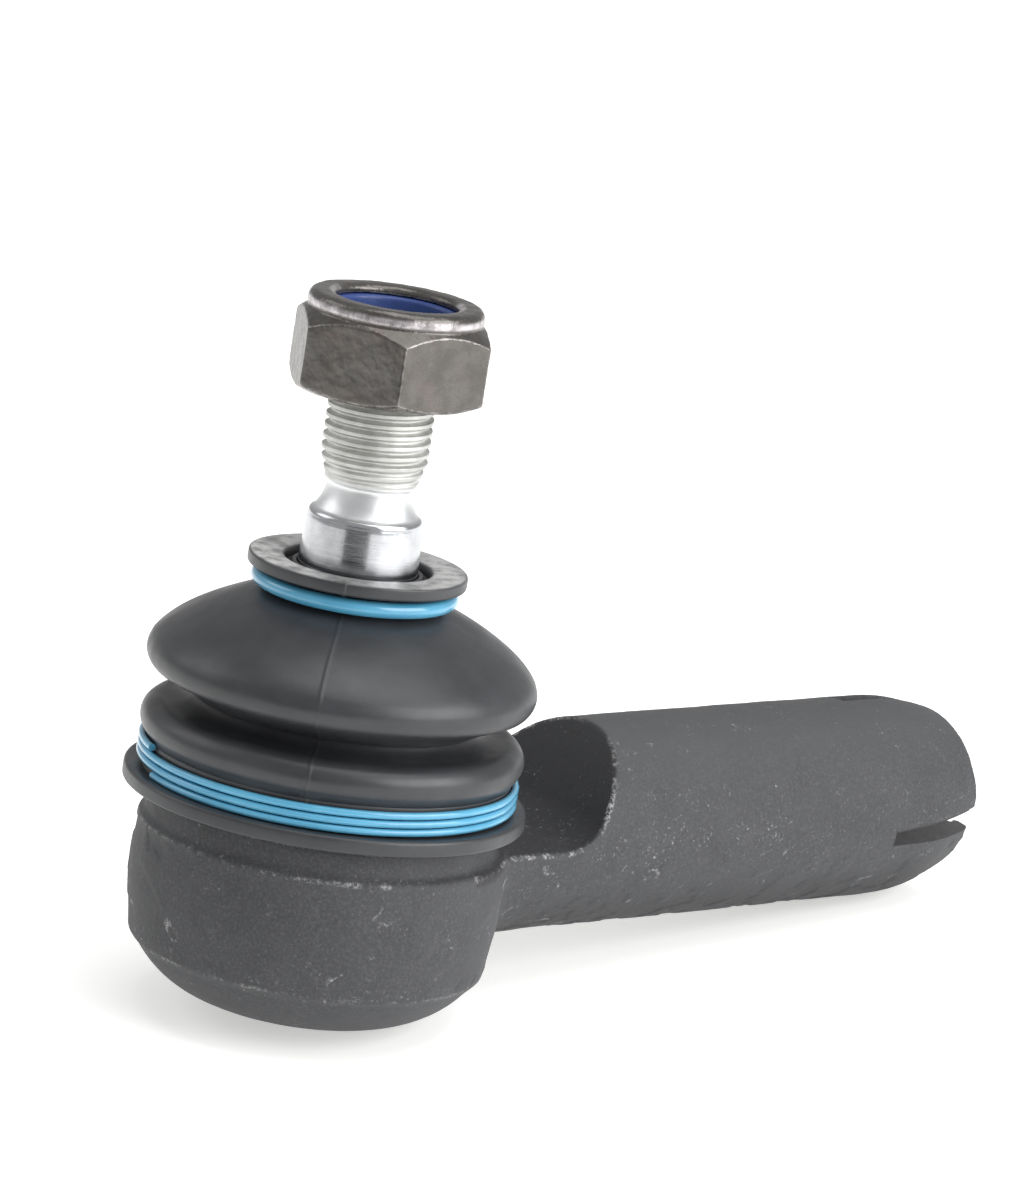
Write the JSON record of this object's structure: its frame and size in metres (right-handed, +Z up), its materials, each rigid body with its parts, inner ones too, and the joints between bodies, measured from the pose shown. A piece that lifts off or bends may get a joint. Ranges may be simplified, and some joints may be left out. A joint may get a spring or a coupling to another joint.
{
  "type": "tie rod end",
  "caption": "Tie rod end: a ball stud with lock nut in a forged housing, sealed by a rubber bellows, with a slotted, internally threaded sleeve for the tie rod.",
  "frame": {"origin": "where the stud's axis meets the housing's flat base", "axes": "+Z up along the stud at rest, +X along the threaded sleeve, away from the ball"},
  "size_m": [0.1004, 0.0378, 0.0679],
  "materials": {
    "black_forging": "rough matte black forging",
    "seat_plastic": "natural acetal",
    "spring_steel": "plain",
    "zinc_plated_steel": "bright zinc over turned steel",
    "black_rubber": "smooth semi-matte",
    "blue_coated_wire": "glossy blue coating",
    "phosphated_steel": "grey-brown phosphate",
    "blue_nylon": "moulded nylon"
  },
  "bodies": {
    "housing": {"housing": "black_forging", "lower_seat": "seat_plastic", "upper_seat": "seat_plastic", "preload_spring": "spring_steel", "closing_ring": "spring_steel"},
    "boot": {"boot": "black_rubber", "boot_lower_ring": "blue_coated_wire"},
    "boot_collar": {"boot_upper_ring": "blue_coated_wire"},
    "stud": {"ball_stud": "zinc_plated_steel"},
    "nut_carrier": {"lock_nut_insert": "blue_nylon"},
    "nut": {"lock_nut": "phosphated_steel"}
  },
  "joints": [
    {"name": "tilt_direction", "type": "hinge", "parent": "housing", "child": "boot", "pos_m": [0, 0, 0.0157], "axis": [0, 0, 1], "continuous": true},
    {"name": "stud_tilt", "type": "hinge", "parent": "boot", "child": "boot_collar", "pos_m": [0, 0, 0.0157], "axis": [0, 1, 0], "range_deg": [-22, 22], "deforming": ["boot"]},
    {"name": "stud_spin", "type": "hinge", "parent": "boot_collar", "child": "stud", "pos_m": [0, 0, 0.0157], "axis": [0, 0, 1], "continuous": true},
    {"name": "nut_travel", "type": "slide", "parent": "stud", "child": "nut_carrier", "axis": [0, 0, 1], "range_m": [-0.00705, 0.00505]},
    {"name": "nut_spin", "type": "hinge", "parent": "nut_carrier", "child": "nut", "pos_m": [0, 0, 0.0588], "axis": [0, 0, 1], "range_deg": [-2520, 1800]}
  ],
  "couplings": [
    {"joint": "nut_travel", "follows": "nut_spin", "m_per_rad": 0.00015915}
  ]
}
